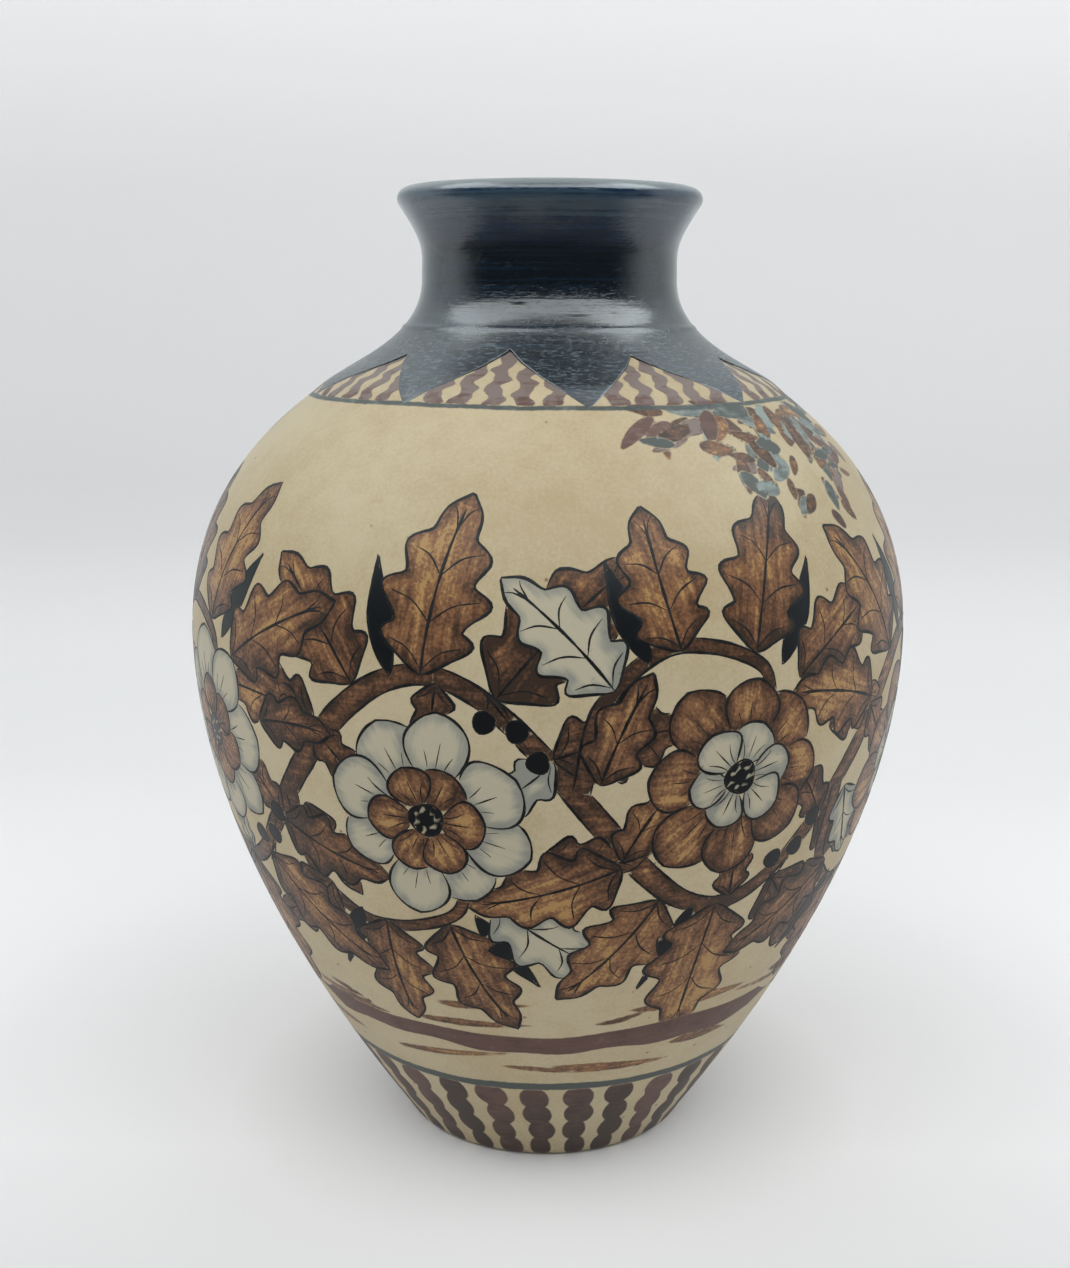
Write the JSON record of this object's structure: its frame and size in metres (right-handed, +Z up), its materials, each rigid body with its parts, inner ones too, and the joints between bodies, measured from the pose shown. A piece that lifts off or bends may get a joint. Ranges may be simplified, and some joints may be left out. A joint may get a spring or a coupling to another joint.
{
  "type": "vase",
  "caption": "Ball vase in stoneware: small flat foot, full round belly, short flared neck under a dark enamel that ends in points on the shoulder.",
  "frame": {"origin": "centre of the flat foot, on the surface that the vase stands on", "axes": "+Z up the vase's axis to the lip, -Y towards the painted front, +X to the right of the front"},
  "size_m": [0.2104, 0.2104, 0.28],
  "materials": {
    "painted_stoneware": "satin",
    "bare_stoneware": "matte",
    "dark_enamel": "gloss",
    "lining_glaze": "gloss"
  },
  "bodies": {
    "root": {"foot_disc": "painted_stoneware", "lower_wall": "painted_stoneware", "upper_wall": "painted_stoneware", "neck_collar": "bare_stoneware", "neck_enamel": "dark_enamel", "inner_glaze": "lining_glaze"}
  },
  "joints": []
}
